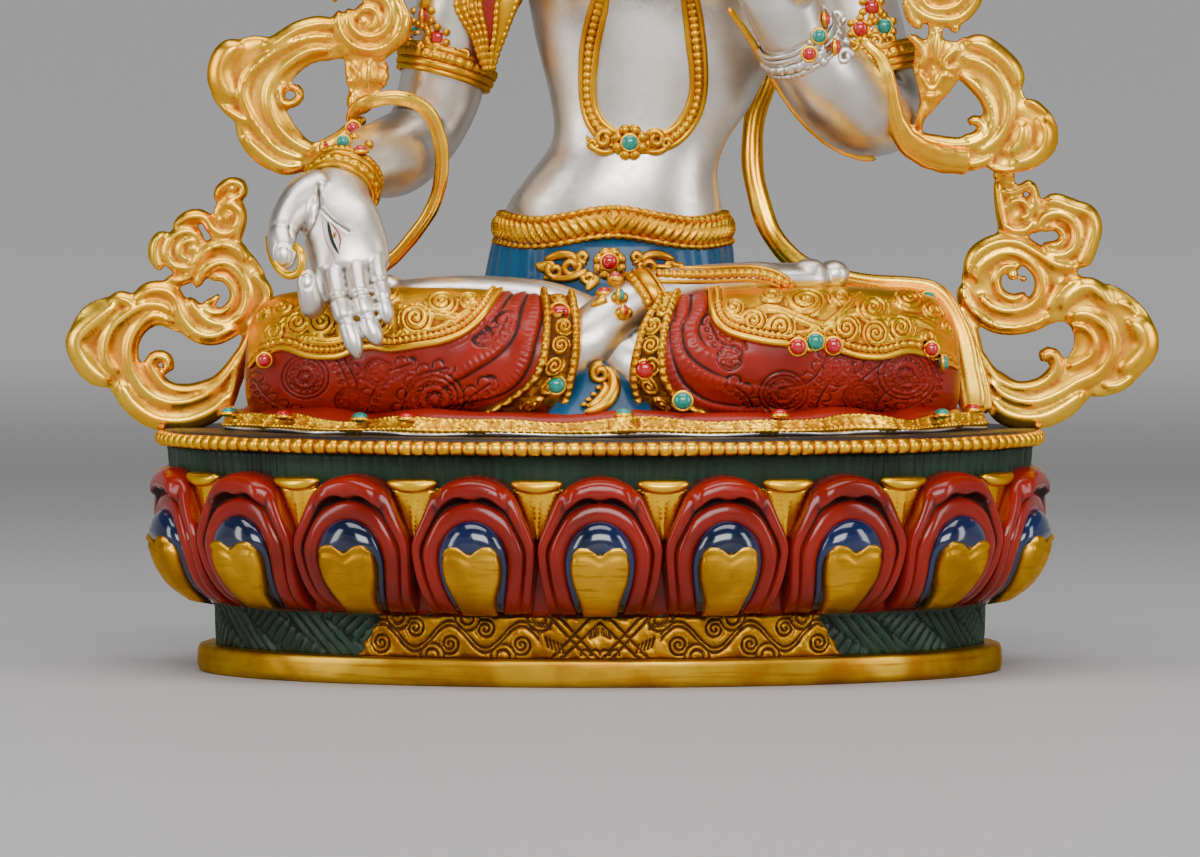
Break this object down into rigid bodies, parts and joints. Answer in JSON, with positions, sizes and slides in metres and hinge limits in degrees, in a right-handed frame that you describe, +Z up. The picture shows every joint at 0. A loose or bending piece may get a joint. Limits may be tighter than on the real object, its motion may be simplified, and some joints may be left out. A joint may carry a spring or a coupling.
{
  "type": "seated tara figure on a lotus throne",
  "caption": "Seated female deity in silvered and gilt cast copper, with giving and teaching gestures, scroll scarf ends and lotus flowers, on an oval painted double-petal lotus throne.",
  "frame": {"origin": "the middle of the throne's flat underside", "axes": "+Z up, -Y the way the figure faces, +X towards the figure's own left, which is the viewer's right"},
  "size_m": [0.2624, 0.155, 0.3403],
  "materials": {
    "silver": "satin silvering, bright on the high places and grey-brown in the recesses",
    "gilding": "fire gilding, bright on the ridges, orange-brown in the recesses",
    "petal_red": "glossy brick-red paint, worn at the edges",
    "petal_blue": "glossy midnight-blue paint with small chips",
    "rim_green": "dull dark-green paint with tool marks showing through",
    "skirt_blue": "satin deep-blue paint",
    "slab_dark": "dull blue-black paint, rubbed brown",
    "hair_blue": "satin blue-black paint",
    "face_paint": "painted eyes, brows and lips",
    "coral": "polished coral",
    "turquoise": "polished turquoise"
  },
  "bodies": {
    "root": {"anklet_coral_1": "coral", "anklet_coral_2": "coral", "anklet_coral_3": "coral", "anklet_turquoise_1": "turquoise", "belt_coral_1": "coral", "collar_coral_1": "coral", "crown_turquoise_1": "turquoise", "hem_coral_1": "coral", "hem_coral_2": "coral", "hem_coral_3": "coral", "hem_coral_4": "coral", "hem_turquoise_1": "turquoise", "hem_turquoise_2": "turquoise", "hem_turquoise_3": "turquoise", "hem_turquoise_4": "turquoise", "left_armlet_coral_1": "coral", "left_armlet_coral_2": "coral", "left_armlet_turquoise_1": "turquoise", "left_bracelet_coral_1": "coral", "left_bracelet_coral_2": "coral", "left_bracelet_coral_3": "coral", "left_bracelet_turquoise_1": "turquoise", "left_cloth_coral_1": "coral", "left_cloth_coral_2": "coral", "left_cloth_turquoise_1": "turquoise", "left_cuff_coral_1": "coral", "left_cuff_turquoise_1": "turquoise", "left_knee_coral_1": "coral", "left_knee_top_coral_1": "coral", "left_knee_top_turquoise_1": "turquoise", "left_knee_turquoise_1": "turquoise", "lotus_flower_left": "gilding", "lotus_flower_right": "gilding", "lotus_throne": "petal_red", "lower_scarf_left": "gilding", "lower_scarf_right": "gilding", "pendant_turquoise_1": "turquoise", "right_armlet_coral_1": "coral", "right_armlet_coral_2": "coral", "right_armlet_turquoise_1": "turquoise", "right_bracelet_coral_1": "coral", "right_bracelet_coral_2": "coral", "right_bracelet_coral_3": "coral", "right_bracelet_turquoise_1": "turquoise", "right_cuff_coral_1": "coral", "right_cuff_turquoise_1": "turquoise", "right_knee_coral_1": "coral", "right_knee_top_coral_1": "coral", "right_knee_top_turquoise_1": "turquoise", "right_knee_turquoise_1": "turquoise", "tara_figure": "silver", "upper_scarf_left": "gilding", "upper_scarf_right": "gilding"}
  },
  "joints": []
}
